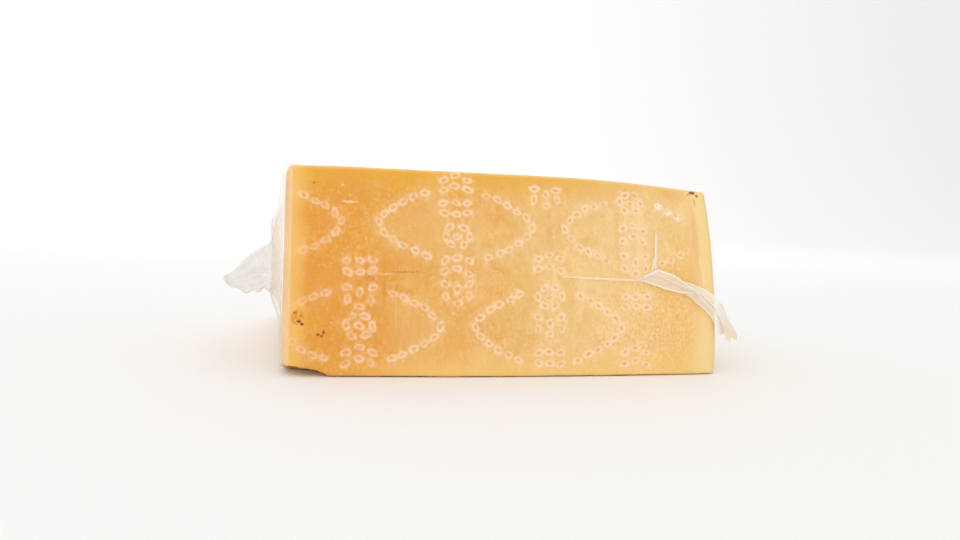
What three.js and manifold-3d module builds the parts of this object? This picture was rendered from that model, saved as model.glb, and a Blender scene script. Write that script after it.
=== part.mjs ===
// A wedge of hard grana cheese, cut from a wheel and lying on one of its two cut faces, wrapped in clear
// film that is gathered into one tail at the left end and another on the rind.
// Millimetres. The wheel's axis is the X axis, the rind faces -Y and +Z is up. At the end the whole thing
// moves so that the middle of its box is over the origin and its lowest face is at z = 0.

import * as THREE from "three";
import * as BufferGeometryUtils from "three/addons/utils/BufferGeometryUtils.js";
import Module from "manifold-3d";

const wasm = await Module();
wasm.setup();

// The wheel: its radius halfway up its side, its height, how far the side falls back to the rims, and the
// round between its side and its flat faces.
const wheelRadius = 200;
const wheelHeight = 200;
const sideFall = 4.2;
const rimRound = 5;
const wheelFacets = 320;
const sideFacets = 8;
const rimFacets = 4;

// The wedge. The knife ran a little off true, so the left end is thicker than the right.
const cutAngleLeft = THREE.MathUtils.degToRad(26.7);
const cutAngleRight = THREE.MathUtils.degToRad(25.7);
const tipBlunt = 6;

// The corner that broke off at the left end, where the rind meets the lower cut face.
const chipLength = 16;
const chipHeight = 4.5;
const chipDepth = 14;

// The film, far thinner in life than here, and the slot where its two long edges lap.
const filmGap = 0.3;
const filmThickness = 0.5;
const seamLength = 180;
const seamWidth = 1.5;
const seamCutDepth = 12;
const seamFromAxis = 60;

// The left tail stands out from the middle of the end face. Each point round its outline is a distance out
// from that face and a height above the lower cut face.
const leftTailThickness = 12;
const leftTailBehindRind = 46;
const leftTailOutline = [
  [-6, 64], [3.5, 62], [6, 54], [11, 50.5], [16, 46.5], [22, 39], [25.5, 35],
  [20.5, 31], [14, 29], [6.5, 30], [2.5, 25], [-6, 22],
];

// The right tail lies on the rind and hangs past the right end. Each point round its outline is a distance
// out from that end face, so one over the rind is negative, and a height above the lower cut face.
const rightTailThickness = 14;
const rightTailProud = 2;
const rightTailOutline = [
  [-36.5, 42], [-34.5, 48.5], [-28, 47], [-15, 41.5], [-8.5, 39], [-3, 35.5], [0.5, 32], [4, 25],
  [7.5, 21], [9, 17], [7.5, 14.5], [-0.5, 19], [-4, 26], [-10.5, 30.5], [-16, 35.5], [-26, 38.5],
];
const outlineSteps = 40;

const up = new THREE.Vector3(0, 0, 1);
const halfHeight = wheelHeight / 2;
const rimRadius = wheelRadius - sideFall;

function solidFrom(geometry) {
  const bare = new THREE.BufferGeometry();
  bare.setAttribute("position", geometry.attributes.position);
  bare.setIndex(geometry.index);
  const welded = BufferGeometryUtils.mergeVertices(bare);
  const corners = welded.index.array;
  const triangles = [];
  for (let first = 0; first < corners.length; first += 3) {
    const [a, b, c] = corners.slice(first, first + 3);
    if (a !== b && b !== c && c !== a) {
      triangles.push(a, b, c);
    }
  }
  return new wasm.Manifold(new wasm.Mesh({
    numProp: 3,
    vertProperties: new Float32Array(welded.attributes.position.array),
    triVerts: new Uint32Array(triangles),
  }));
}

function geometryFrom(solid) {
  const mesh = solid.getMesh();
  const geometry = new THREE.BufferGeometry();
  geometry.setAttribute("position", new THREE.BufferAttribute(mesh.vertProperties, 3));
  geometry.setIndex(new THREE.BufferAttribute(mesh.triVerts, 1));
  geometry.computeVertexNormals();
  return geometry;
}

// Everything on the side that a plane's normal points to, as a block far larger than the wheel.
function beyond(plane) {
  const side = wheelRadius * 3;
  const block = new THREE.BoxGeometry(side, side, side);
  block.translate(0, 0, side / 2);
  block.applyQuaternion(new THREE.Quaternion().setFromUnitVectors(up, plane.normal));
  block.translate(...plane.normal.clone().multiplyScalar(-plane.constant));
  return solidFrom(block);
}

// The plane through three points, moved outwards by grow. Its normal points to the side with the waste.
function cutThrough(a, b, c, waste, grow) {
  const plane = new THREE.Plane().setFromCoplanarPoints(a, b, c);
  if (plane.distanceToPoint(waste) < 0) {
    plane.negate();
  }
  plane.constant -= grow;
  return plane;
}

// A point on a rim of the wheel, at an angle up from the lower cut face.
function rimPoint(x, angle) {
  return new THREE.Vector3(x, -rimRadius * Math.cos(angle), rimRadius * Math.sin(angle));
}

// How far the wheel's side is from its axis, at a distance along from the middle of the wheel.
function sideRadius(along) {
  return wheelRadius - sideFall * (along / halfHeight) ** 2;
}

function wheel(grow) {
  const straight = halfHeight - rimRound;
  const flatRadius = sideRadius(straight) - rimRound;
  const profile = new THREE.Path();
  profile.moveTo(0, -halfHeight - grow);
  profile.lineTo(flatRadius, -halfHeight - grow);
  profile.absarc(flatRadius, -straight, rimRound + grow, -Math.PI / 2, 0);
  for (let step = 1; step < sideFacets; step += 1) {
    const along = straight * (2 * step / sideFacets - 1);
    profile.lineTo(sideRadius(along) + grow, along);
  }
  profile.absarc(flatRadius, straight, rimRound + grow, 0, Math.PI / 2);
  profile.lineTo(0, halfHeight + grow);
  const turned = new THREE.LatheGeometry(profile.getPoints(rimFacets), wheelFacets);
  turned.rotateZ(-Math.PI / 2);
  return solidFrom(turned);
}

// The cheese, or the cheese with every face moved outwards by grow.
function wedge(grow) {
  const lowerCut = new THREE.Plane(new THREE.Vector3(0, 0, -1), -grow);
  const tip = new THREE.Plane(new THREE.Vector3(0, 1, 0), tipBlunt - grow);
  const upperCut = cutThrough(
    new THREE.Vector3(0, 0, 0),
    rimPoint(-halfHeight, cutAngleLeft),
    rimPoint(halfHeight, cutAngleRight),
    new THREE.Vector3(0, 0, wheelRadius),
    grow,
  );
  const chip = cutThrough(
    new THREE.Vector3(chipLength - halfHeight, -rimRadius, 0),
    new THREE.Vector3(-halfHeight, -rimRadius, chipHeight),
    new THREE.Vector3(-halfHeight, chipDepth - rimRadius, 0),
    rimPoint(-halfHeight, 0),
    grow,
  );
  return [lowerCut, upperCut, tip, chip].reduce(
    (solid, plane) => solid.subtract(beyond(plane)),
    wheel(grow),
  );
}

function seamSlot() {
  const angle = (cutAngleLeft + cutAngleRight) / 2;
  const slot = new THREE.BoxGeometry(seamLength, seamWidth, seamCutDepth);
  slot.translate(0, -seamFromAxis, 0);
  slot.rotateX(-angle);
  return solidFrom(slot);
}

function filmSkin() {
  const inside = wedge(filmGap);
  const outside = wedge(filmGap + filmThickness);
  return outside.subtract(inside).subtract(seamSlot().subtract(inside));
}

// A plate as thick as given behind its front face, with the outline standing in the XZ plane, cut back to
// leave a gap all over the film that it meets.
function tail(outline, front, thickness) {
  const smooth = new THREE.SplineCurve(outline).getPoints(outlineSteps);
  const plate = new THREE.ExtrudeGeometry(new THREE.Shape(smooth), {
    depth: thickness,
    bevelEnabled: false,
  });
  plate.rotateX(Math.PI / 2);
  plate.translate(0, front + thickness, 0);
  return solidFrom(plate).subtract(wedge(filmGap + filmThickness + filmGap));
}

function leftTail() {
  const outline = leftTailOutline.map(([out, height]) => new THREE.Vector2(-halfHeight - out, height));
  return tail(outline, leftTailBehindRind - wheelRadius, leftTailThickness);
}

function rightTail() {
  const outline = rightTailOutline.map(([out, height]) => new THREE.Vector2(halfHeight + out, height));
  return tail(outline, -wheelRadius - rightTailProud, rightTailThickness);
}

const cheeseMaterial = new THREE.MeshStandardMaterial({ color: 0xeeb86e, roughness: 0.55, metalness: 0 });
const filmMaterial = new THREE.MeshStandardMaterial({
  color: 0xf2e6d8,
  roughness: 0.25,
  metalness: 0,
  transparent: true,
  opacity: 0.35,
});

function part(name, solid, material) {
  const mesh = new THREE.Mesh(geometryFrom(solid), material.clone());
  mesh.name = name;
  return mesh;
}

const group = new THREE.Group();
group.add(
  part("cheese_wedge", wedge(0), cheeseMaterial),
  part("film_skin", filmSkin(), filmMaterial),
  part("film_tail_left", leftTail(), filmMaterial),
  part("film_tail_right", rightTail(), filmMaterial),
);

const box = new THREE.Box3().setFromObject(group);
const middle = box.getCenter(new THREE.Vector3());
group.position.set(-middle.x, -middle.y, -box.min.z);

export default group;
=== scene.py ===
import math

import bpy
import numpy as np
from mathutils import Matrix, Vector, noise


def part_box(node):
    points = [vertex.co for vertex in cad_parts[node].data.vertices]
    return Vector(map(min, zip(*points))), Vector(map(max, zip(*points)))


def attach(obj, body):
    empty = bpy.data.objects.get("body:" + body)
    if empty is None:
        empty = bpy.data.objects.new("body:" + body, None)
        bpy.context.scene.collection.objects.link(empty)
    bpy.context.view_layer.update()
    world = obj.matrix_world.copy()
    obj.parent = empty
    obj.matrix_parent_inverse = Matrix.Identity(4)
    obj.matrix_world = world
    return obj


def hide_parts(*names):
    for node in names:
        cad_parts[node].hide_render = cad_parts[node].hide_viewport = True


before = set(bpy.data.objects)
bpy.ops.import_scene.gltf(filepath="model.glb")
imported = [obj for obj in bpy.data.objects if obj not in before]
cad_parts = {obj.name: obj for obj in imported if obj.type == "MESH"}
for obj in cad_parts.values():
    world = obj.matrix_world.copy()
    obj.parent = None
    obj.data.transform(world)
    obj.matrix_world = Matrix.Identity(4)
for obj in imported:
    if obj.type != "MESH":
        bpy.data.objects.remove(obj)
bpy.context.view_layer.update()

bpy.ops.object.select_all(action="DESELECT")

# The wedge, cut from a wheel whose axis runs left to right. Lengths are in metres.
wedge = {
    "tipBlunt": 0.006,
    "sideFall": 0.0042,
    "rimRound": 0.005,
    "endRound": 0.0035,
    "cutRound": 0.0013,
    "belly": 0.0068,  # how far the upper cut bulges, in radians
    "bellyAt": 0.72,
    "bellyWidth": 0.26,
    "angleLeft": math.radians(26.7),
    "angleRight": math.radians(25.7),
    "chip": (0.018, 0.016, 0.0041),  # how far the broken corner reaches along, in and up
    "lumpHeight": 0.00022,
    "lumpSize": 0.035,
}
cheeseLow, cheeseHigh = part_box("cheese_wedge")
axisY = cheeseHigh.y + wedge["tipBlunt"]
wheelRadius = axisY - cheeseLow.y
wedgeLength = cheeseHigh.x - cheeseLow.x
middleX = (cheeseLow.x + cheeseHigh.x) / 2
mm = 0.001
nothing = 1e-6  # nearer than this counts as on a face


def srgb(red, green, blue):
    def linear(value):
        share = value / 255
        return share / 12.92 if share <= 0.04045 else ((share + 0.055) / 1.055) ** 2.4
    return (linear(red), linear(green), linear(blue), 1.0)


def useOnly(piece):
    bpy.ops.object.select_all(action="DESELECT")
    piece.select_set(True)
    bpy.context.view_layer.objects.active = piece


def readVectors(parts, field):
    values = np.empty(len(parts) * 3)
    parts.foreach_get(field, values)
    return values.reshape(-1, 3)


def readPoints(piece):
    return readVectors(piece.data.vertices, "co")


def pointNormals(piece):
    return readVectors(piece.data.vertex_normals, "vector")


def faceCentres(piece):
    return readVectors(piece.data.polygons, "center")


def writePoints(piece, points):
    piece.data.vertices.foreach_set("co", np.ascontiguousarray(points, float).ravel())
    piece.data.update()


def writeAttribute(piece, name, values):
    values = np.ascontiguousarray(values, np.float32)
    kind, field = ("FLOAT", "value") if values.ndim == 1 else ("FLOAT_VECTOR", "vector")
    attribute = piece.data.attributes.new(name, kind, "POINT")
    attribute.data.foreach_set(field, values.ravel())


def waves(points, size, seed, octaves=3):
    shift = Vector((seed * 7.1, seed * 3.3, seed * 5.7))
    return np.array([noise.fractal(Vector(p) / size + shift, 1.0, 2.0, octaves) for p in points])


def noiseLine(values):
    return np.array([noise.fractal(Vector((value, 0.3, 0.7)), 0.9, 2.0, 3) for value in np.ravel(values)])


def smoothStep(low, high, values):
    share = np.clip((values - low) / (high - low), 0, 1)
    return share * share * (3 - 2 * share)


def selectOnly(piece, kind, chosen):
    for name in ("vertices", "edges", "polygons"):
        parts = getattr(piece.data, name)
        parts.foreach_set("select", chosen if name == kind else np.zeros(len(parts), bool))


def selectEdgesAlong(piece, axis):
    edges = piece.data.edges
    ends = np.empty(len(edges) * 2, int)
    edges.foreach_get("vertices", ends)
    ends = ends.reshape(-1, 2)
    points = readPoints(piece)
    way = np.abs(points[ends[:, 1]] - points[ends[:, 0]])
    others = [k for k in range(3) if k != axis]
    selectOnly(piece, "edges", (way[:, others] < nothing).all(axis=1))


def cutSelected(cuts, mode):
    bpy.context.tool_settings.mesh_select_mode = (False, mode == "EDGE", mode == "FACE")
    bpy.ops.object.mode_set(mode="EDIT")
    bpy.ops.mesh.subdivide(number_cuts=cuts, quadcorner="STRAIGHT_CUT", ngon=False)
    bpy.ops.object.mode_set(mode="OBJECT")


def gridded(name, cells):
    piece = bpy.context.object
    piece.name = name
    bpy.ops.object.transform_apply(location=True)
    for axis, count in enumerate(cells):
        if count > 1:
            selectEdgesAlong(piece, axis)
            cutSelected(count - 1, "EDGE")
    return piece


# A cube, a square or an open tube with a fine grid on it, ready to be bent into its place.
def gridBlock(name, cells):
    bpy.ops.mesh.primitive_cube_add(size=1, location=(0.5, 0.5, 0.5))
    return gridded(name, cells)


def gridSquare(name, cells):
    bpy.ops.mesh.primitive_plane_add(size=1, location=(0.5, 0.5, 0))
    return gridded(name, (*cells, 1))


def gridTube(name, around, along):
    bpy.ops.mesh.primitive_cylinder_add(
        vertices=around, radius=1, depth=1, location=(0, 0, 0.5), end_fill_type="NOTHING")
    return gridded(name, (1, 1, along))


def closerAtEnds(share, amount):
    return share - amount * np.sin(2 * np.pi * share) / (2 * np.pi)


def roundCorner(fromFirst, fromSecond, radius):
    first = radius - fromFirst
    second = radius - fromSecond
    near = (first > 0) & (second > 0)
    reach = np.where(near, np.hypot(first, second), 1)
    pull = np.where(near & (reach > radius), radius / reach, 1)
    return radius - first * pull, radius - second * pull


def rindRadius(fromMiddle):
    share = np.clip(2 * fromMiddle / wedgeLength, -1, 1)
    return wheelRadius - wedge["sideFall"] * share ** 2


def cutAngle(fromMiddle, radius):
    middle = (wedge["angleLeft"] + wedge["angleRight"]) / 2
    lean = math.sin((wedge["angleLeft"] - wedge["angleRight"]) / 2)
    return middle - np.arcsin(lean * 2 * fromMiddle / wedgeLength * wheelRadius / np.maximum(radius, 0.005))


# A place on the rind, from how far along it is from the left end and how far round from the lower edge.
def onRind(along, around, lift):
    radius = rindRadius(along - wedgeLength / 2) + lift
    turn = around / wheelRadius
    return np.stack([
        cheeseLow.x + along,
        axisY - radius * np.cos(turn),
        cheeseLow.z + radius * np.sin(turn),
    ], axis=-1)


# unit holds each point's share of the way from left to right, from rind to tip and from the lower cut to
# the upper. Besides the places, it gives how deep each point is under the rind and how far round it is.
# grow moves every face outwards, and under moves the lower cut down.
def wedgePlace(unit, grow, under):
    length = wedgeLength + 2 * grow
    share = closerAtEnds(unit[:, 0], 0.4)
    fromMiddle = (share - 0.5) * length
    side = np.where(share < 0.5, -1.0, 1.0)
    outer = rindRadius(fromMiddle) + grow
    fromEnd = np.minimum(share, 1 - share) * length
    fromRind = unit[:, 1] ** 1.25 * (outer - wedge["tipBlunt"] + grow)
    rindDepth = np.minimum(fromEnd, fromRind)
    fromEnd, fromRind = roundCorner(fromEnd, fromRind, wedge["rimRound"] + grow)
    radius = outer - fromRind
    bulge = wedge["belly"] * np.exp(-((share - wedge["bellyAt"]) / wedge["bellyWidth"]) ** 2)
    angle = cutAngle(fromMiddle, radius) + bulge
    up = closerAtEnds(unit[:, 2], 0.5)
    fromCut = np.minimum(up, 1 - up) * angle * radius
    fromCut, fromRind = roundCorner(fromCut, fromRind, wedge["cutRound"] + grow)
    fromCut, fromEnd = roundCorner(fromCut, fromEnd, wedge["endRound"] + grow)
    radius = outer - fromRind
    turn = np.where(up > 0.5, angle - fromCut / radius, fromCut / radius)
    places = np.stack([
        middleX + side * (length / 2 - fromEnd),
        axisY - radius * np.cos(turn) + up * grow * np.sin(angle),
        cheeseLow.z + radius * np.sin(turn) + up * grow * np.cos(angle) - (1 - up) * under,
    ], axis=1)
    return breakChip(places, grow, under), rindDepth, wheelRadius * turn


# A scoop out of the corner at the left end, where the rind meets the lower cut.
def breakChip(places, grow, under):
    size = np.array(wedge["chip"])
    corner = np.array([cheeseLow.x - grow, axisY - rindRadius(wedgeLength) - grow, cheeseLow.z - under])
    scaled = (places - corner) / size
    near = (scaled ** 2).sum(axis=1) < 1.7
    reach = np.ones(len(places))
    reach[near] += 0.12 * waves(places[near], 0.006, 3)
    inward = np.full(3, 3 ** -0.5)
    ahead = scaled @ inward
    square = ahead ** 2 + reach ** 2 - (scaled ** 2).sum(axis=1)
    push = np.where(near, np.sqrt(np.maximum(square, 0)) - ahead, 0)
    return places + np.maximum(push, 0)[:, None] * inward * size


# The slow lumps that the cheese has all over, which the film follows.
def lumps(places):
    return wedge["lumpHeight"] * waves(places, wedge["lumpSize"], 1, 2)


class Wire:
    def __init__(self, look, socket):
        self.look = look
        self.socket = socket

    def maths(self, operation, first, second):
        return self.look.node("ShaderNodeMath", {"operation": operation}, {0: first, 1: second})

    def __add__(self, other):
        return self.maths("ADD", self, other)

    def __sub__(self, other):
        return self.maths("SUBTRACT", self, other)

    def __rsub__(self, other):
        return self.maths("SUBTRACT", other, self)

    def __mul__(self, other):
        return self.maths("MULTIPLY", self, other)

    def __truediv__(self, other):
        return self.maths("DIVIDE", self, other)

    def __abs__(self):
        return self.maths("ABSOLUTE", self, 0.0)

    def atMost(self, other):
        return self.maths("MINIMUM", self, other)

    def atLeast(self, other):
        return self.maths("MAXIMUM", self, other)

    __radd__ = __add__
    __rmul__ = __mul__


class Look:
    def __init__(self, name):
        self.material = bpy.data.materials.new(name)
        self.material.use_nodes = True
        self.tree = self.material.node_tree
        self.shader = self.tree.nodes["Principled BSDF"]
        self.place = self.node("ShaderNodeTexCoord", out="Object")

    def node(self, kind, settings=None, sockets=None, out=0):
        made = self.tree.nodes.new(kind)
        for key, value in (settings or {}).items():
            if key == "stops":
                self.setStops(made.color_ramp, value)
            else:
                setattr(made, key, value)
        for key, value in (sockets or {}).items():
            self.feed(made.inputs[key], value)
        return Wire(self, made.outputs[out])

    def setStops(self, ramp, stops):
        while len(ramp.elements) < len(stops):
            ramp.elements.new(0.5)
        for element, (position, colour) in zip(ramp.elements, stops):
            element.position = position
            element.color = colour

    def feed(self, socket, value):
        if isinstance(value, Wire):
            self.tree.links.new(value.socket, socket)
        else:
            socket.default_value = value

    def finish(self, settings):
        for key, value in settings.items():
            self.feed(self.shader.inputs[key], value)
        return self.material

    def vector(self, operation, *values, out=0):
        return self.node("ShaderNodeVectorMath", {"operation": operation}, dict(enumerate(values)), out)

    def blend(self, first, second, share):
        return self.node("ShaderNodeMix", {"data_type": "RGBA"}, {0: share, 6: first, 7: second}, 2)

    def between(self, value, low, high):
        kinds = {"interpolation_type": "SMOOTHSTEP"}
        return self.node("ShaderNodeMapRange", kinds, {0: value, 1: low, 2: high, 3: 0.0, 4: 1.0})

    def attribute(self, name, out="Fac"):
        return self.node("ShaderNodeAttribute", {"attribute_name": name}, out=out)

    def noise(self, size, shift=0.0, detail=2.0, place=None):
        sizes = size if isinstance(size, tuple) else (size,) * 3
        stretch = tuple(1 / one for one in sizes)
        spread = self.vector("MULTIPLY_ADD", place or self.place, stretch, (shift,) * 3)
        return self.node("ShaderNodeTexNoise", {}, {"Vector": spread, "Scale": 1.0, "Detail": detail})

    def cells(self, size, shift=0.0):
        spread = self.vector("MULTIPLY_ADD", self.place, (1 / size,) * 3, (shift,) * 3)
        return self.node("ShaderNodeTexVoronoi", {}, {"Vector": spread, "Scale": 1.0})

    # 1 inside an egg shape of those half sizes and 0 outside it, with a soft or a crisp edge
    def spot(self, centre, halves, soft=0.5):
        away = self.vector("SUBTRACT", self.place, tuple(centre))
        scaled = self.vector("MULTIPLY", away, tuple(1 / half for half in halves))
        return 1 - self.between(self.vector("LENGTH", scaled, out="Value"), 1 - soft, 1 + soft)

    def bump(self, height, strength, distance):
        return self.node(
            "ShaderNodeBump", {}, {"Height": height, "Strength": strength, "Distance": distance}, "Normal")


# The rows of oval pricks in the rind, in millimetres along it from the left end and round it from the
# lower edge. Rounded brackets stand between columns of small plain figures.
pricks = {
    "halfLong": 2.15,
    "halfShort": 1.35,
    "dent": 0.4,
    "dentWidth": 0.56,
    "lip": 0.12,
    "lipAt": 0.84,
    "lipWidth": 0.26,
    "fillWidth": 0.95,
    "coreWidth": 0.42,
    "smearWidth": 3,
    "farthest": 6,
    "columnStart": 31.2,
    "columnStep": 41.9,
    "figureGap": 5.3,
    "figureRow": 3.9,
    "bracketReach": 19.8,
    "bracketHalf": 14.1,
    "upperRow": 66,
    "lowerRow": 21.5,
    "bracketPricks": 11,
}
# Each figure is a list of pricks: steps across, steps up, and the turn in degrees.
figures = {
    "flower": [
        (0, 0, 0), (1, 0, 90), (-1, 0, 90),
        (0.5, 1, -35), (-0.5, 1, 35), (0.5, -1, 35), (-0.5, -1, -35),
    ],
    "ripples": [
        (-1, 0.4, 30), (0, 0.9, 0), (1, 0.4, -30),
        (-1, -0.9, 30), (0, -0.4, 0), (1, -0.9, -30),
    ],
    "bars": [
        (-1, 0.6, 10), (0, 0.6, -15), (1, 0.6, 0),
        (-1, -0.6, -20), (0, -0.6, 0), (1, -0.6, 25),
    ],
    "scatter": [
        (-1, 1, 0), (1, 1, 20), (0, 0.35, 80),
        (-1, -0.4, 90), (1, -0.3, 100), (0, -1, 0),
    ],
}
figureColumns = [
    [(9, "ripples"), (21.5, "flower"), (34, "scatter"), (47, "bars")],
    [(36, "scatter"), (48.5, "ripples"), (61, "flower"), (73.5, "bars"), (86, "ripples")],
    [(8, "bars"), (22.4, "scatter"), (35, "flower"), (50.3, "ripples"), (81, "scatter")],
    [(8.9, "ripples"), (33.6, "bars"), (50.5, "scatter"), (65.6, "ripples"), (80.7, "flower")],
]
# The middle of each bracket along the rind, and the way that it points.
upperBrackets = [(23.2, 1), (39.3, -1), (107.1, 1), (123.2, -1), (191, 1)]
lowerBrackets = [(-2.7, -1), (65.1, 1), (81.2, -1), (149, 1)]


def bracket(middle, way, row):
    swing = np.linspace(-1, 1, 201)
    along = middle - way * pricks["bracketReach"] * np.abs(swing) ** 1.8
    around = row + pricks["bracketHalf"] * swing
    travelled = np.concatenate([[0], np.cumsum(np.hypot(np.diff(along), np.diff(around)))])
    even = np.linspace(0, travelled[-1], pricks["bracketPricks"])
    turn = np.degrees(np.arctan2(np.gradient(around), np.gradient(along)))
    picks = [np.interp(even, travelled, values) for values in (along, around, np.unwrap(turn, period=180))]
    return list(zip(*picks))


def allPricks():
    places = []
    for number, column in enumerate(figureColumns):
        middle = pricks["columnStart"] + pricks["columnStep"] * number
        for height, name in column:
            for across, upward, turn in figures[name]:
                along = middle + across * pricks["figureGap"]
                places.append((along, height + upward * pricks["figureRow"], turn))
    for middle, way in upperBrackets:
        places += bracket(middle, way, pricks["upperRow"])
    for middle, way in lowerBrackets:
        places += bracket(middle, way, pricks["lowerRow"])
    chance = np.random.default_rng(14)
    found = []
    for along, around, turn in places:
        along += chance.normal(0, 0.3)
        around += chance.normal(0, 0.3)
        turn += chance.normal(0, 12)
        size = chance.uniform(0.88, 1.1)
        strength = np.interp(along, [0, 30, 70, 130], [0.5, 0.78, 0.95, 1.05]) * chance.uniform(0.7, 1.1)
        strength *= 1 - smoothStep(177, 190, along)
        strength *= smoothStep(1, 8, along)
        if strength > 0.05:
            found.append((along, around, math.radians(turn), size, strength))
    return found


cheese = {
    "cells": (88, 70, 40),
    "rindCuts": 1,
    "prickCuts": 2,
    "prickZone": 3.1,
    "grain": 0.0005,
    "underside": 0.0005,
}


def makeCheese():
    piece = gridBlock("wedge_of_cheese", cheese["cells"])
    selectOnly(piece, "polygons", faceCentres(piece)[:, 1] < nothing)
    cutSelected(cheese["rindCuts"], "FACE")
    found = allPricks()
    centres = faceCentres(piece)
    places, _, around = wedgePlace(centres, 0, 0)
    along = (places[:, 0] - cheeseLow.x) / mm
    around = around / mm
    close = np.zeros(len(centres), bool)
    for prickAlong, prickAround, *_ in found:
        close |= np.hypot(along - prickAlong, around - prickAround) < cheese["prickZone"]
    selectOnly(piece, "polygons", close & (centres[:, 1] < nothing))
    cutSelected(cheese["prickCuts"], "FACE")

    unit = readPoints(piece)
    places, rindDepth, around = wedgePlace(unit, 0, cheese["underside"])
    writePoints(piece, places)
    normals = pointNormals(piece)
    onSide = unit[:, 1] < nothing
    onCut = (unit[:, 2] < nothing) | (unit[:, 2] > 1 - nothing) | (unit[:, 1] > 1 - nothing)
    along = (places[:, 0] - cheeseLow.x) / mm
    around = around / mm
    rim, core, smear, push = (np.zeros(len(unit)) for _ in range(4))
    wobble = np.where(onSide, waves(places, 0.0022, 4, 2), 0)
    for prickAlong, prickAround, turn, size, strength in found:
        near = onSide & (np.abs(along - prickAlong) < pricks["farthest"])
        near &= np.abs(around - prickAround) < pricks["farthest"]
        right = along[near] - prickAlong
        above = around[near] - prickAround
        byLong = (right * math.cos(turn) + above * math.sin(turn)) / (pricks["halfLong"] * size)
        byShort = (above * math.cos(turn) - right * math.sin(turn)) / (pricks["halfShort"] * size)
        reach = np.hypot(byLong, byShort) * (1 + 0.16 * wobble[near])
        lip = np.exp(-((reach - pricks["lipAt"]) / pricks["lipWidth"]) ** 2)
        dent = np.exp(-(reach / pricks["dentWidth"]) ** 2)
        filled = 0.5 * np.exp(-(reach / pricks["fillWidth"]) ** 4)
        dark = np.exp(-(reach / pricks["coreWidth"]) ** 2)
        haze = np.exp(-(np.hypot(right, above) / pricks["smearWidth"]) ** 2)
        rim[near] = np.maximum(rim[near], np.maximum(lip, filled) * strength)
        core[near] = np.maximum(core[near], dark * strength)
        smear[near] = np.maximum(smear[near], haze * strength)
        push[near] += (pricks["lip"] * lip - pricks["dent"] * dent) * strength * mm
    shove = lumps(places) + push
    shove += np.where(onSide, 0.00004 * waves(places, 0.005, 2), 0)
    grain = np.abs(waves(places, 0.0035, 5)) + 0.8 * smoothStep(0.1, 0.5, waves(places, 0.012, 6))
    shove -= np.where(onCut & ~onSide, cheese["grain"] * grain * smoothStep(0, 0.002, rindDepth), 0)
    writePoints(piece, places + normals * shove[:, None])
    writeAttribute(piece, "rindDepth", np.where(onCut & ~onSide, rindDepth, 0))
    fromUpper = (1 - closerAtEnds(unit[:, 2], 0.5)) * wedge["angleLeft"] * wheelRadius
    writeAttribute(piece, "upperLip", np.where(onSide, 1 - smoothStep(0.0008, 0.0022, fromUpper), 0))
    writeAttribute(piece, "prickRim", rim)
    writeAttribute(piece, "prickCore", core)
    writeAttribute(piece, "prickSmear", smear)
    useOnly(piece)
    bpy.ops.object.shade_smooth()
    return piece


rindShades = {
    "honey": srgb(227, 157, 44),
    "amber": srgb(223, 147, 40),
    "straw": srgb(230, 179, 97),
    "cream": srgb(237, 199, 134),
    "pale": srgb(248, 219, 164),
    # This shade is painted light on the narrow strip where the left end face turns to the lamps.
    "paintedLightPeach": srgb(244, 202, 134),
    "prickPale": srgb(253, 221, 186),
    "prickDark": srgb(206, 136, 76),
    # glint is the colour of the painted highlights on the pricks.
    "glint": srgb(255, 242, 220),
    "soft": srgb(231, 184, 115),
    "mustard": srgb(222, 146, 6),
    "brown": srgb(186, 98, 6),
    "dark": srgb(134, 50, 0),
    "glow": srgb(238, 182, 84),
    "frost": srgb(238, 182, 98),
    "flake": srgb(250, 226, 178),
    "top": srgb(230, 168, 44),
    "bottom": srgb(244, 203, 120),
    # left and right are painted light, where the rounded ends of the rind turn towards the lamps.
    "left": srgb(241, 190, 100),
    "right": srgb(245, 213, 148),
    "lip": srgb(245, 216, 140),
}
pasteShades = {
    "straw": srgb(244, 221, 170),
    "gold": srgb(238, 206, 144),
    "crystal": srgb(251, 242, 222),
    "rind": srgb(205, 138, 58),
}


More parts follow.
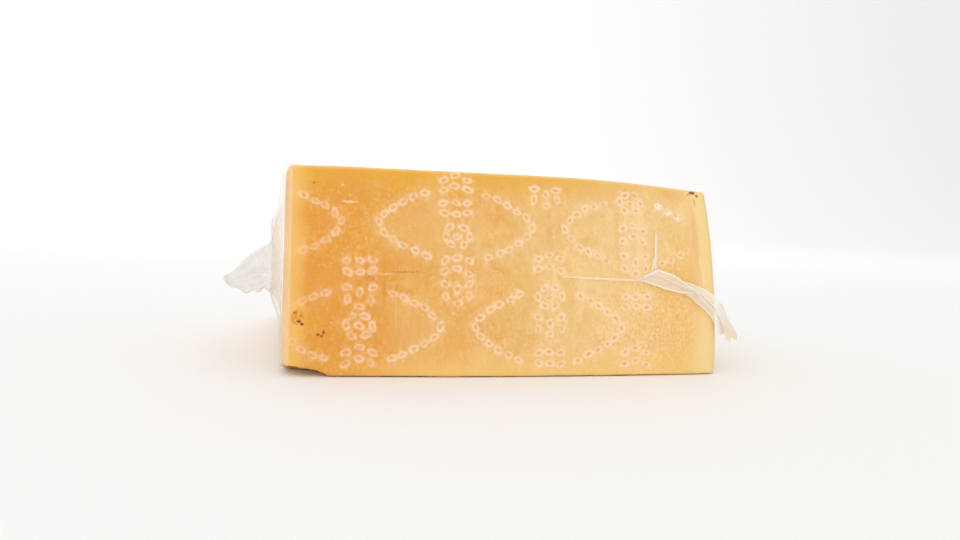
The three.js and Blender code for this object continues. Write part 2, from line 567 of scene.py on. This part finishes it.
def rindPaint(look):
    ends = look.node("ShaderNodeSeparateXYZ", {}, {0: look.place}, "X")
    height = look.node("ShaderNodeSeparateXYZ", {}, {0: look.place}, "Z")
    along = (ends - cheeseLow.x) / wedgeLength
    drift = (look.noise(0.045, 3.0, 3.0) - 0.5) * 0.35
    shades = rindShades
    ramp = [(0.0, shades["honey"]), (0.2, shades["honey"]), (0.45, shades["straw"]),
            (0.72, shades["cream"]), (1.0, shades["cream"])]
    colour = look.node("ShaderNodeValToRGB", {"stops": ramp}, {0: along + drift})
    mottle = look.between(look.noise((0.022, 0.03, 0.016), 7.0, 4.0), 0.45, 0.7)
    colour = look.blend(colour, shades["amber"], mottle * (0.56 - along * 0.6).atLeast(0.04))
    cloud = look.between(look.noise((0.014, 0.03, 0.03), 11.0, 5.0), 0.5, 0.66)
    colour = look.blend(colour, shades["pale"], cloud * (along * 0.5).atLeast(0.02))
    glow = look.spot(onRind(180 * mm, 30 * mm, 0), (0.013, 0.05, 0.034), 0.5)
    colour = look.blend(colour, shades["glow"], glow * 0.55)
    patches = look.between(look.noise((0.007, 0.01, 0.005), 13.0, 4.0), 0.5, 0.68)
    colour = look.blend(colour, shades["amber"], patches * (0.45 - along * 0.35))
    blush = look.between(look.noise((0.004, 0.006, 0.006), 17.0, 5.0), 0.52, 0.7)
    colour = look.blend(colour, shades["pale"], blush * (along * 0.55).atLeast(0.08))
    frost = look.spot(onRind(163 * mm, 21 * mm, 0), (0.027, 0.05, 0.027), 0.45)
    flakes = look.between(look.noise((0.0008, 0.003, 0.0012), 5.0, 4.0), 0.44, 0.62)
    colour = look.blend(colour, shades["frost"], frost * 0.4)
    colour = look.blend(colour, shades["flake"], flakes * frost * 0.42)
    fine = look.noise((0.0011, 0.003, 0.0019), 21.0, 4.0)
    colour = look.blend(colour, shades["amber"], look.between(fine, 0.5, 0.72) * 0.16)
    colour = look.blend(colour, shades["pale"], (1 - look.between(fine, 0.3, 0.5)) * 0.2)
    freckle = look.between(look.noise(0.0009, 2.0, 2.0), 0.62, 0.72)
    colour = look.blend(colour, shades["pale"], freckle * 0.5)
    topBand = look.between(height, cheeseLow.z + 73 * mm, cheeseLow.z + 87 * mm)
    topBand = topBand * (1 - look.between(along, 0.5, 0.9) * 0.55)
    colour = look.blend(colour, shades["top"], topBand * 0.75)
    bottomBand = 1 - look.between(height, cheeseLow.z, cheeseLow.z + 14 * mm)
    colour = look.blend(colour, shades["bottom"], bottomBand * look.between(along, 0.05, 0.35) * 0.7)
    # Painted light: paler bands at both ends, where the rounded rim catches the lamps.
    paintedLightLeftBand = 1 - look.between(along + drift * 0.04, 0.025, 0.055)
    colour = look.blend(colour, shades["left"], paintedLightLeftBand * 0.75)
    paintedLightRightBand = look.between(along + drift * 0.06, 0.905, 0.965)
    colour = look.blend(colour, shades["right"], paintedLightRightBand * 0.85)
    lip = look.attribute("upperLip")
    colour = look.blend(colour, shades["lip"], lip * 0.6)
    # Painted light: a pale strip at the left edge, where the end face turns towards the lamps.
    paintedLightLeftEdge = 1 - look.between(along, 0.0125, 0.0155)
    colour = look.blend(colour, shades["paintedLightPeach"], paintedLightLeftEdge * 0.75)
    flatEnd = 1 - look.between(along.atMost(1 - along), 0.003, 0.012)
    worn = look.between(look.noise((0.02, 0.016, 0.012), 31.0, 5.0), 0.3, 0.8)
    colour = look.blend(colour, shades["amber"], worn * flatEnd * 0.5)
    return colour


# Stains, dark specks and hairline cracks. Each has its place along and round the rind and its half sizes,
# all in millimetres, then its shade and its strength.
rindMarks = [
    ((6.0, 24.6), (2.7, 3.3), "mustard", 1.0),
    ((5.0, 26.4), (0.8, 0.6), "brown", 0.9),
    ((7.2, 25.3), (0.5, 0.7), "brown", 0.9),
    ((6.6, 22.7), (0.9, 0.5), "dark", 1.0),
    ((7.9, 21.6), (0.7, 0.6), "dark", 1.0),
    ((14.5, 17.2), (0.8, 0.6), "dark", 1.0),
    ((16.0, 16.6), (0.6, 0.6), "dark", 1.0),
    ((16.8, 18.2), (0.55, 0.8), "dark", 1.0),
    ((12.0, 84.0), (0.8, 0.5), "brown", 0.85),
    ((14.4, 69.1), (9, 7), "amber", 0.5),
    ((27.0, 81.0), (12, 9), "amber", 0.4),
    ((24.0, 35.0), (13, 10), "amber", 0.5),
    ((12.0, 40.0), (7, 11), "amber", 0.4),
    ((62.0, 62.0), (23, 17), "soft", 0.5),
    ((55.0, 21.0), (15, 13), "soft", 0.45),
    ((105.0, 64.0), (12, 20), "soft", 0.3),
    ((46.0, 50.0), (14, 7), "amber", 0.25),
    ((20.0, 12.0), (12, 6), "amber", 0.4),
    ((41.0, 41.0), (10, 11), "amber", 0.25),
    ((36.0, 19.0), (10, 12), "amber", 0.35),
    ((47.0, 36.0), (6, 2.6), "amber", 0.6),
    ((51.5, 35.0), (2.2, 1.3), "brown", 0.25),
    ((33.0, 47.5), (7, 2.0), "amber", 0.6),
    ((36.5, 41.5), (3, 2.0), "brown", 0.25),
    ((50.5, 44.4), (5.5, 0.28), "brown", 0.75),
    ((55.4, 44.6), (0.6, 0.35), "brown", 0.8),
    ((42.5, 43.4), (3.2, 0.4), "prickPale", 0.6),
    ((27.0, 75.3), (3.4, 0.5), "prickPale", 0.7),
    ((24.0, 83.0), (0.6, 0.5), "prickPale", 0.8),
    ((22.0, 80.0), (0.5, 0.5), "prickPale", 0.7),
    ((27.0, 78.5), (0.5, 0.4), "prickPale", 0.7),
    ((41.5, 38.0), (0.35, 9), "brown", 0.35),
    ((46.5, 27.0), (0.3, 9), "prickPale", 0.22),
    ((115.5, 62.0), (1.2, 12), "amber", 0.2),
    ((149.0, 62.0), (1.6, 22), "amber", 0.16),
    ((188.0, 60.0), (3.2, 34), "amber", 0.2),
    ((189.4, 66.0), (1.3, 18), "mustard", 0.2),
    ((191.0, 88.6), (1.7, 0.8), "dark", 0.9),
    ((193.4, 87.2), (0.7, 0.6), "dark", 0.9),
    ((189.0, 87.4), (0.7, 0.4), "brown", 0.8),
    ((191.6, 83.5), (0.35, 2.2), "brown", 0.5),
]

# Painted highlights: pale glints of light on three pricks, painted over them.
glints = [
    ((171.1, 79.8), (1.9, 1.5), "glint", 0.9),
    ((175.9, 76.6), (2.2, 1.2), "glint", 0.8),
    ((180.9, 73.9), (1.8, 1.1), "glint", 0.6),
]


def paintMarks(look, colour, marks):
    ragged = look.between(look.noise(0.0011, 9.0, 3.0), 0.4, 0.55)
    for (along, around), (halfAlong, halfAround), shade, strength in marks:
        centre = onRind(along * mm, around * mm, 0)
        wide = shade in ("amber", "soft")
        mark = look.spot(centre, (halfAlong * mm, 0.012, halfAround * mm), 0.6 if wide else 0.25)
        if not wide and shade != "dark":
            mark = mark * (0.25 + ragged * 0.75)
        colour = look.blend(colour, rindShades[shade], mark * strength)
    return colour


def cheeseLook():
    look = Look("aged cheese")
    broken = look.between(look.noise(0.0016, 4.0, 2.0), 0.3, 0.55)
    rim = (look.attribute("prickRim") * (0.45 + broken * 0.6)).atMost(1.0)
    core = look.attribute("prickCore")
    streaky = look.between(look.noise((0.002, 0.004, 0.003), 8.0, 3.0), 0.42, 0.6)
    smear = look.attribute("prickSmear") * streaky
    rind = paintMarks(look, rindPaint(look), rindMarks)
    rind = look.blend(rind, rindShades["prickPale"], smear * 0.5)
    rind = look.blend(rind, rindShades["prickPale"], rim * 0.85)
    rind = look.blend(rind, rindShades["prickDark"], core * 0.6)
    # The glints are painted highlights, laid over the pricks.
    rind = paintMarks(look, rind, glints)

    depth = look.attribute("rindDepth")
    wandering = depth + (look.noise(0.01, 1.0, 3.0) - 0.5) * 0.003
    grains = look.cells(0.0021)
    lump = look.noise(0.0042, 6.0, 5.0)
    slow = look.noise(0.03, 16.0, 2.0)
    paste = look.blend(pasteShades["gold"], pasteShades["straw"], look.between(lump, 0.32, 0.62))
    paste = look.blend(paste, pasteShades["gold"], look.between(grains, 0.35, 0.85) * 0.4)
    paste = look.blend(paste, pasteShades["gold"], look.between(slow, 0.4, 0.7) * 0.35)
    crystals = 1 - look.between(look.cells(0.0058, 4.0), 0.07, 0.12)
    paste = look.blend(paste, pasteShades["crystal"], crystals * 0.9)
    border = look.between(wandering, 0.0012, 0.0085)
    paste = look.blend(pasteShades["rind"], paste, border)
    cut = look.between(depth, 0.0004, 0.0012)
    colour = look.blend(rind, paste, cut)

    waxy = look.noise(0.0007, 1.5, 3.0) * 0.5 + look.noise(0.004, 2.5, 4.0)
    rough = look.noise(0.0013, 3.5, 4.0) * 1.4 + grains * 0.8
    height = waxy * (1 - cut) + rough * cut
    return look.finish({
        "Base Color": colour,
        "Roughness": 0.42 + look.noise(0.006, 2.0, 3.0) * 0.16 + cut * 0.14,
        "Normal": look.bump(height, 0.35, 0.0006),
        "Subsurface Weight": 0.08,
        "Subsurface Radius": (1.0, 0.45, 0.16),
        "Subsurface Scale": 0.004,
        "IOR": 1.4,
        "Specular IOR Level": 0.3,
    })


film = {
    "cells": (100, 72, 40),
    "away": 0.00042,
    "underside": 0.00076,
    "flatSize": (0.51, 0.32),
    "leftRoot": (46, 44),  # millimetres behind the rind and up from the lower cut
    "tent": 0.0048,
    "rightRootUp": 0.04,
    "leftPleats": 13,
    "leftPleatLift": 0.0011,
    "rightFolds": 15,
    "rightFoldLift": 0.0007,
    "looseLift": 0.0005,
    "lapFromTip": 0.056,
    "lapWidth": 0.022,
}


def makeSkin():
    piece = gridBlock("food_film", film["cells"])
    unit = readPoints(piece)
    places, _, _ = wedgePlace(unit, film["away"], film["underside"])
    writePoints(piece, places)
    normals = pointNormals(piece)
    rootY, rootZ = (value * mm for value in film["leftRoot"])
    overY = places[:, 1] - cheeseLow.y - rootY
    overZ = places[:, 2] - cheeseLow.z - rootZ
    reach = np.hypot(overY, overZ)
    leftSide = 1 - smoothStep(0, 0.004, places[:, 0] - cheeseLow.x)
    tent = np.exp(-(overY / 0.022) ** 2) * smoothStep(-0.03, -0.012, overZ)
    tent *= 1 - 0.6 * smoothStep(0.017, 0.026, overZ)
    angle = np.arctan2(overZ, overY)
    pleats = 0.5 + 0.5 * np.sin(film["leftPleats"] * angle + 3 * waves(places, 0.03, 8))
    pleats *= leftSide * smoothStep(0.004, 0.02, reach) * np.exp(-reach / 0.05)
    rightSide = smoothStep(-0.004, 0, places[:, 0] - cheeseHigh.x)
    foldY = places[:, 1] - cheeseLow.y
    foldZ = places[:, 2] - cheeseLow.z - film["rightRootUp"]
    foldAngle = np.arctan2(foldZ, foldY + 0.01)
    offRind = smoothStep(0.002, 0.02, foldY)
    folds = 0.5 + 0.5 * np.sin(film["rightFolds"] * foldAngle + 2 * waves(places, 0.04, 9))
    folds *= rightSide * offRind
    loose = np.abs(waves(places, 0.014, 10)) * offRind
    lift = lumps(places) + film["looseLift"] * loose
    lift += film["leftPleatLift"] * pleats + film["rightFoldLift"] * folds
    lift = np.where(places[:, 2] < 0.002, np.minimum(lift, 0), lift)
    places = places + normals * lift[:, None]
    places[:, 0] -= film["tent"] * tent * leftSide
    writePoints(piece, places)
    way = np.stack([np.cos(angle), np.sin(angle), np.zeros(len(angle))], axis=1) * leftSide[:, None]
    foldWay = np.stack([np.cos(foldAngle), np.sin(foldAngle), np.ones(len(angle))], axis=1)
    way += foldWay * rightSide[:, None]
    writeAttribute(piece, "fan", way * 5)
    writeAttribute(piece, "fanAmount", leftSide * (0.25 + 0.6 * np.exp(-reach / 0.03)) + 0.45 * rightSide)
    milky = leftSide * (0.1 + 0.34 * np.exp(-(reach / 0.022) ** 2))
    writeAttribute(piece, "crease", np.maximum(milky, 0.08 * rightSide))
    return piece


# A strip of film. place gives where its points go and how near each is to a long edge, from 0 to 1, and
# crease gives how milky they are.
def strip(name, cells, place, crease, fanScale):
    piece = gridSquare(name, cells)
    unit = readPoints(piece)
    places, edge = place(unit[:, 0], unit[:, 1])
    writePoints(piece, places)
    writeAttribute(piece, "crease", crease(unit[:, 0], edge))
    fan = np.stack([unit[:, 1] * fanScale, np.full(len(unit), fanScale), unit[:, 0] * 0.6], axis=1)
    writeAttribute(piece, "fan", fan)
    writeAttribute(piece, "fanAmount", np.full(len(unit), 0.14))
    return piece


def alongPath(stations, share):
    stations = np.array(stations, float)
    steps = np.linspace(0, 1, len(stations))
    return np.stack([np.interp(share, steps, column) for column in stations.T], axis=1)


# The same path with its corners cut off, round after round.
def softened(stations, rounds=2):
    for _ in range(rounds):
        finer = []
        for first, second in zip(stations[:-1], stations[1:]):
            first = np.array(first, float)
            second = np.array(second, float)
            finer += [first * 0.75 + second * 0.25, first * 0.25 + second * 0.75]
        stations = [stations[0], *finer, stations[-1]]
    return stations


# Small pleats lying on the rind. Each has its line, in millimetres along and round the rind, its half width
# at the middle and its strength.
smallPleats = [
    ([(162.5, 43.0), (152, 43.2), (141, 43.3), (131, 43.5), (121, 43.9)], 0.5, 0.8),
    ([(166.6, 46.5), (167.2, 52), (167.8, 59), (168.6, 67)], 0.7, 0.85),
    ([(164.5, 46.5), (165.8, 50), (166.8, 55)], 0.6, 0.7),
    ([(158, 43.6), (162, 45.4), (166, 46.8), (171, 45.0), (178, 42.3), (185, 39.2)], 0.55, 0.8),
    ([(190, 58), (191.5, 48), (192.5, 38)], 0.5, 0.3),
]


def makePleat(number, line, halfWidth, strength):
    stations = softened(line)

    def place(share, across):
        spot = alongPath(stations, share)
        ahead = alongPath(stations, share + 0.02) - alongPath(stations, share - 0.02)
        sideways = np.stack([-ahead[:, 1], ahead[:, 0]], axis=1)
        sideways /= np.maximum(np.hypot(*sideways.T), 1e-6)[:, None]
        swell = np.sin(np.pi * np.clip(share, 0.02, 0.98)) ** 0.5
        offset = (across - 0.5) * 2
        spot = spot + sideways * (offset * halfWidth * swell)[:, None]
        lift = 0.0007 + 0.0004 * swell * (1 - offset ** 2)
        return onRind(spot[:, 0] * mm, spot[:, 1] * mm, lift), np.abs(offset)

    def crease(share, edge):
        return strength * (0.6 + 0.4 * smoothStep(0.3, 0.9, edge)) * np.sin(np.pi * share) ** 0.4

    return strip(f"pleat{number}", (40, 6), place, crease, 1.5)


# The bands that the right tail is made of. Each station has a point on the upper edge and one on the lower,
# as millimetres along and up, then how far the band stands off the rind.
tailBands = [
    {
        "stations": [
            (156.5, 43.3, 156.5, 42.7, 0.8), (161, 44.6, 161, 42.0, 1.4), (165.2, 47.4, 165.2, 40.9, 2.2),
            (168.0, 48.0, 168.6, 39.8, 2.4), (171.4, 46.8, 171.5, 38.9, 2.4), (175.9, 45.3, 175.5, 37.9, 2.3),
            (180.5, 42.6, 180.3, 37.2, 2.2), (184.3, 39.9, 183.6, 37.3, 2.1), (187.2, 37.9, 186.2, 37.1, 2.6),
            (189.9, 35.2, 189.3, 34.4, 2.8), (192.1, 32.4, 191.6, 31.6, 2.8), (196.2, 30.4, 195.8, 29.6, 2.6),
        ],
        "pleats": 2.5, "swell": 0.25, "middle": 0.4, "edge": 0.85,
        "seed": 1, "fadeIn": 0.06, "lobes": 1, "lobe": 0,
    },
    {
        "stations": [
            (178.5, 43.2, 180.0, 40.2, 1.4), (185.6, 41.4, 185.0, 38.9, 1.8), (190.0, 39.9, 189.0, 37.2, 2.1),
            (194.9, 37.6, 192.6, 34.6, 2.3), (198.3, 34.8, 195.4, 31.8, 2.4), (200.9, 30.9, 198.0, 28.4, 2.3),
            (202.5, 26.6, 199.6, 24.2, 2.2), (206.3, 21.9, 201.6, 19.6, 2.2), (209.2, 16.8, 202.9, 15.0, 2.2),
        ],
        "pleats": 1.5, "swell": 0.22, "middle": 0.56, "edge": 0.78,
        "seed": 2, "fadeIn": 0.2, "lobes": 2, "lobe": 2.4,
    },
    {
        "stations": [
            (180.0, 39.0, 180.0, 37.4, 1.2), (186.2, 36.9, 184.8, 34.8, 1.6), (189.4, 34.6, 187.6, 32.3, 1.9),
            (192.6, 32.6, 190.2, 30.2, 2.1), (196.4, 30.0, 193.7, 27.5, 2.2), (198.8, 26.6, 196.2, 24.4, 2.1),
            (200.6, 22.6, 197.3, 20.8, 2.0), (201.6, 18.4, 197.8, 18.0, 1.9),
        ],
        "pleats": 1.5, "swell": 0.2, "middle": 0.5, "edge": 0.7,
        "seed": 3, "fadeIn": 0.2, "lobes": 1, "lobe": 1.8,
    },
    {
        "stations": [
            (181.0, 40.6, 181.0, 38.7, 1.3), (185.6, 39.4, 186.0, 36.5, 1.5), (189.4, 37.6, 189.2, 34.6, 1.6),
            (192.9, 35.0, 192.3, 32.2, 1.7), (195.8, 32.2, 195.3, 30.0, 1.8), (198.3, 28.8, 197.7, 26.9, 1.8),
            (200.1, 24.7, 199.2, 22.9, 1.8), (202.8, 19.2, 200.2, 18.6, 1.8),
        ],
        "pleats": 1.5, "swell": 0.2, "middle": 0.5, "edge": 0.55,
        "seed": 4, "fadeIn": 0.3, "lobes": 1, "lobe": 1.8,
    },
]


def makeTailBand(number, band):
    stations = softened(band["stations"])
    hangUp = 0.02  # past the end of the wedge, a band hangs in the plane that the rind is in at this height
    beyondEnd = wheelRadius - np.sqrt((wheelRadius - wedge["sideFall"]) ** 2 - hangUp ** 2)

    def place(share, across):
        lobes = np.abs(np.sin(np.pi * (band["lobes"] * across + 0.02))) ** 0.5 - 0.7
        torn = band["lobe"] * share ** 8 * (lobes + 0.2 * noiseLine(across * 5 + band["seed"] * 3.7))
        spot = alongPath(stations, share)
        ahead = alongPath(stations, np.minimum(share + 0.02, 1)) - alongPath(stations, share - 0.02)
        run = (ahead[:, :2] + ahead[:, 2:4]) / 2
        run /= np.maximum(np.hypot(*run.T), 1e-6)[:, None]
        wander = noiseLine(share * 9 + band["seed"] * 5.1) * 0.35 * smoothStep(0, 0.2, share)
        along = spot[:, 2] + (spot[:, 0] - spot[:, 2]) * across + run[:, 0] * torn
        height = spot[:, 3] + (spot[:, 1] - spot[:, 3]) * across + run[:, 1] * torn + wander
        pleat = np.sin(2 * np.pi * (band["pleats"] * across + 0.6 * noiseLine(share * 4 + band["seed"])))
        away = spot[:, 4] + band["swell"] * pleat * np.sin(np.pi * across) ** 0.5
        radius = rindRadius(along * mm - wedgeLength / 2)
        rindY = wheelRadius - np.sqrt(radius ** 2 - (height * mm) ** 2)
        surface = np.where(along * mm < wedgeLength, rindY, beyondEnd)
        return np.stack([
            cheeseLow.x + along * mm,
            cheeseLow.y + surface - np.maximum(away, 0.75) * mm,
            cheeseLow.z + height * mm,
        ], axis=1), np.abs(across - 0.5) * 2

    def crease(share, edge):
        bright = smoothStep(0.72, 0.97, edge)
        solid = band["middle"] + (band["edge"] - band["middle"]) * bright
        return (solid + 0.3 * smoothStep(0.62, 0.9, share)) * smoothStep(0, band["fadeIn"], share + 0.02)

    return strip(f"tailBand{number}", (64, 18), place, crease, 4.0)


# The left tail stands out from the end face. Each station is a point on its upper line and one on its
# lower, as millimetres out from the face and up from the lower cut, then its half depth.
leftTail = {
    "around": 120,
    "along": 52,
    "stations": [
        (0.4, 71.5, 0.2, 16, 15), (3.6, 66.5, 1.6, 24.5, 12), (4.9, 60, 3.8, 28.2, 9),
        (5.6, 53.8, 6.6, 30.2, 7), (7.6, 51.2, 8.7, 32.2, 5.6), (10.6, 50.0, 10.4, 28.8, 4.8),
        (14.0, 48.0, 13.2, 30.6, 4.2), (17.4, 44.6, 16.4, 28.2, 3.7), (20.4, 41.0, 19.6, 31.2, 3.1),
        (23.2, 38.0, 22.6, 31.2, 2.3), (25.0, 37.0, 24.4, 33.2, 1.6), (26.4, 36.4, 25.6, 34.8, 0.7),
    ],
    "pleats": 5,
}


def makeLeftTail():
    piece = gridTube("leftTail", leftTail["around"], leftTail["along"])
    unit = readPoints(piece)
    share = unit[:, 2]
    turn = np.arctan2(unit[:, 1], unit[:, 0])
    spot = alongPath(softened(leftTail["stations"], 1), share)
    circle = np.stack([np.cos(turn), np.sin(turn), share * 1.8], axis=1)
    ruffle = np.sin(leftTail["pleats"] * turn + 2.5 * waves(circle, 1.2, 21)) * smoothStep(0.05, 0.3, share)
    crumple = waves(circle, 0.5, 22) * smoothStep(0.05, 0.3, share)
    torn = 1.3 * waves(circle * np.array([1, 1, 0]), 0.4, 23) * share ** 4
    upward = (1 + np.cos(turn)) / 2
    out = spot[:, 2] + (spot[:, 0] - spot[:, 2]) * upward + torn
    height = spot[:, 3] + (spot[:, 1] - spot[:, 3]) * upward - 0.5 * torn
    height += 0.5 * crumple
    depth = film["leftRoot"][0] + 4 * share
    depth += spot[:, 4] * np.sin(turn) * (1 + 0.3 * crumple) + 0.35 * ruffle
    places = np.stack([
        cheeseLow.x - np.maximum(out, 0.6) * mm,
        cheeseLow.y + depth * mm,
        cheeseLow.z + height * mm,
    ], axis=1)
    writePoints(piece, places)
    milky = 0.3 + 0.14 * smoothStep(0.1, 0.5, share) + 0.12 * np.maximum(crumple, 0)
    milky = (milky + 0.12 * smoothStep(0.75, 1, share)) * smoothStep(-0.01, 0.13, share)
    writeAttribute(piece, "crease", milky)
    writeAttribute(piece, "fan", circle * np.array([4, 4, 0.5]))
    writeAttribute(piece, "fanAmount", np.full(len(unit), 0.07))
    return piece


# Where the two long edges of the sheet lap on the upper cut face.
def makeLap():
    middleAngle = (wedge["angleLeft"] + wedge["angleRight"]) / 2

    def place(share, across):
        along = (share - 0.5) * (wedgeLength + 2 * film["away"])
        radius = film["lapFromTip"] + wedge["tipBlunt"] + film["lapWidth"] * (1 - across)
        radius = radius + 0.0016 * noiseLine(share * 5 + 2) * (1 - across)
        angle = cutAngle(along, radius)
        ripple = 0.0006 * np.abs(noiseLine(share * 14 + across * 3))
        lift = film["away"] + 0.0003 + ripple + 0.0002 * (1 - across)
        return np.stack([
            middleX + along,
            axisY - radius * np.cos(angle) + lift * math.sin(middleAngle),
            cheeseLow.z + radius * np.sin(angle) + lift * math.cos(middleAngle),
        ], axis=1), np.abs(across - 0.5) * 2

    def crease(share, edge):
        return 0.06 + 0.45 * smoothStep(0.93, 1.0, edge)

    return strip("lap", (110, 14), place, crease, 2.0)


def makeFilm():
    skin = makeSkin()
    extras = [makeLap(), makeLeftTail()]
    extras += [makePleat(number, *pleat) for number, pleat in enumerate(smallPleats)]
    extras += [makeTailBand(number, band) for number, band in enumerate(tailBands)]
    useOnly(skin)
    for extra in extras:
        extra.select_set(True)
    bpy.ops.object.join()
    bpy.ops.object.shade_smooth()
    return skin


# The film's tints carry painted shade and light: the grey is painted shade on the gathered left tail, and the
# warm shade is partly painted light, paler than clear film to lift the shade between stacked layers.
filmShades = {
    "paintedShadeGrey": (0.83, 0.81, 0.775, 1.0),
    "warm": (0.99, 0.95, 0.87, 1.0),
    "butter": (0.81, 0.68, 0.48, 1.0),
}


def filmLook():
    look = Look("clear food film")
    crease = look.attribute("crease")
    amount = look.attribute("fanAmount")
    fan = look.attribute("fan", "Vector")
    ends = look.node("ShaderNodeSeparateXYZ", {}, {0: look.place}, "X")
    lines = look.noise(0.5, 2.0, 4.0, fan)
    ridges = 1 - look.between(abs(lines - 0.5), 0.0, 0.035)
    wrinkle = look.noise((0.03, 0.004, 0.006), 4.0, 3.0)
    hair = 1 - look.between(abs(wrinkle - 0.5), 0.0, 0.012)
    patches = look.between(look.noise(0.03, 6.0, 2.0), 0.48, 0.62)
    # Painted shade and light: grey painted shade out on the left tail, warm tint brightened to lift the shade
    # over the cheese.
    warmth = look.between(ends, cheeseLow.x - 10 * mm, cheeseLow.x - 1.5 * mm)
    tint = look.blend(filmShades["paintedShadeGrey"], filmShades["warm"], warmth)
    past = look.between(ends, cheeseHigh.x - 6 * mm, cheeseHigh.x + 2 * mm)
    tint = look.blend(tint, filmShades["butter"], past)
    leftRim = 1 - look.between(ends, cheeseLow.x + 1.5 * mm, cheeseLow.x + 3.5 * mm)
    alpha = 0.02 + crease + ridges * amount * 0.22 + hair * patches * 0.07
    alpha = (alpha + leftRim * (1 - look.between(crease, 0.05, 0.3)) * 0.1).atMost(0.92)
    height = lines * amount * 0.5 + wrinkle * 0.6 + look.noise(0.0025, 3.0, 3.0) * 0.1
    return look.finish({
        "Base Color": tint,
        "Roughness": 0.16 + amount * 0.12,
        "Alpha": alpha,
        "Normal": look.bump(height, 0.3, 0.001),
        "IOR": 1.9,
    })


stage = {
    "floorSize": 7.0,
    "wallHeight": 3.5,
    "wallRound": 1.4,
    "shade": (0.955, 0.95, 0.942, 1.0),
    "toothShade": (0.90, 0.895, 0.885, 1.0),
    "worldShade": (1.0, 0.995, 0.985, 1.0),
    "worldStrength": 0.86,
    # Each light has its name, its place, what it is aimed at, its size and its power.
    "lights": [
        ("keyLight", (-0.9, -1.4, 1.2), (0, 0, 0.03), 1.6, 6.4),
        ("topLight", (0.5, 0.4, 2.0), (0, 0, 0), 1.8, 1),
        ("fillLight", (-0.5, -1.7, 0.3), (0, 0, 0.02), 1.0, 2.4),
        ("wallLight", (0, 1.5, 2.4), (0, 3.4, 1.0), 3.0, 19),
    ],
}


def makeStage():
    bpy.ops.mesh.primitive_plane_add(size=stage["floorSize"], location=(0, 0, 0))
    floor = bpy.context.object
    floor.name = "floor"
    centres = np.array([(floor.data.vertices[a].co + floor.data.vertices[b].co) / 2
                        for a, b in (edge.vertices for edge in floor.data.edges)])
    back = centres[:, 1] > stage["floorSize"] / 2 - 0.01
    selectOnly(floor, "edges", back)
    bpy.context.tool_settings.mesh_select_mode = (False, True, False)
    bpy.ops.object.mode_set(mode="EDIT")
    bpy.ops.mesh.extrude_region_move(TRANSFORM_OT_translate={"value": (0, 0, stage["wallHeight"])})
    bpy.ops.object.mode_set(mode="OBJECT")
    bend = floor.modifiers.new("bend", "BEVEL")
    bend.width = stage["wallRound"]
    bend.segments = 24
    bend.limit_method = "ANGLE"
    useOnly(floor)
    bpy.ops.object.modifier_apply(modifier="bend")
    bpy.ops.object.shade_smooth()
    look = Look("studio paper")
    tooth = look.noise(0.004, 1.0, 4.0)
    shade = look.blend(stage["shade"], stage["toothShade"], tooth * 0.3)
    floor.data.materials.append(look.finish({"Base Color": shade, "Roughness": 0.9}))


def makeLight(name, place, target, size, power):
    bpy.ops.object.light_add(type="AREA", location=place)
    light = bpy.context.object
    light.name = name
    light.data.size = size
    light.data.energy = power
    light.rotation_euler = (Vector(target) - Vector(place)).to_track_quat("-Z", "Y").to_euler()


def makeLights():
    scene = bpy.context.scene
    world = bpy.data.worlds.new("soft room")
    world.use_nodes = True
    background = world.node_tree.nodes["Background"]
    background.inputs["Color"].default_value = stage["worldShade"]
    background.inputs["Strength"].default_value = stage["worldStrength"]
    scene.world = world
    for light in stage["lights"]:
        makeLight(*light)
    scene.view_settings.view_transform = "Standard"


# The camera looks at the rind from a little to the left and above, and leans a little.
cameraSet = {
    "aim": (-17.6, 3.0, 45.7),
    "distance": 0.350,
    "fromLeft": 13.83,
    "fromAbove": 3.98,
    "lean": 2.46,
    "lens": 30.37,
}


def makeCamera():
    along, away, height = cameraSet["aim"]
    aim = Vector((middleX + along * mm, cheeseLow.y + away * mm, cheeseLow.z + height * mm))
    left = math.radians(cameraSet["fromLeft"])
    above = math.radians(cameraSet["fromAbove"])
    back = Vector((-math.sin(left) * math.cos(above), -math.cos(left) * math.cos(above), math.sin(above)))
    bpy.ops.object.camera_add(location=aim + back * cameraSet["distance"])
    camera = bpy.context.object
    camera.data.lens = cameraSet["lens"]
    camera.data.clip_start = 0.01
    turn = back.to_track_quat("Z", "Y").to_matrix()
    lean = Matrix.Rotation(math.radians(cameraSet["lean"]), 3, "Z")
    camera.rotation_euler = (turn @ lean).to_euler()
    bpy.context.scene.camera = camera


print("making the cheese")
cheesePiece = makeCheese()
cheesePiece.data.materials.append(cheeseLook())
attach(cheesePiece, "root")
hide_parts("cheese_wedge")

print("wrapping the film")
filmPiece = makeFilm()
filmPiece.data.materials.append(filmLook())
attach(filmPiece, "root")
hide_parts("film_skin", "film_tail_left", "film_tail_right")

print("setting the stage")
makeStage()
makeLights()
makeCamera()
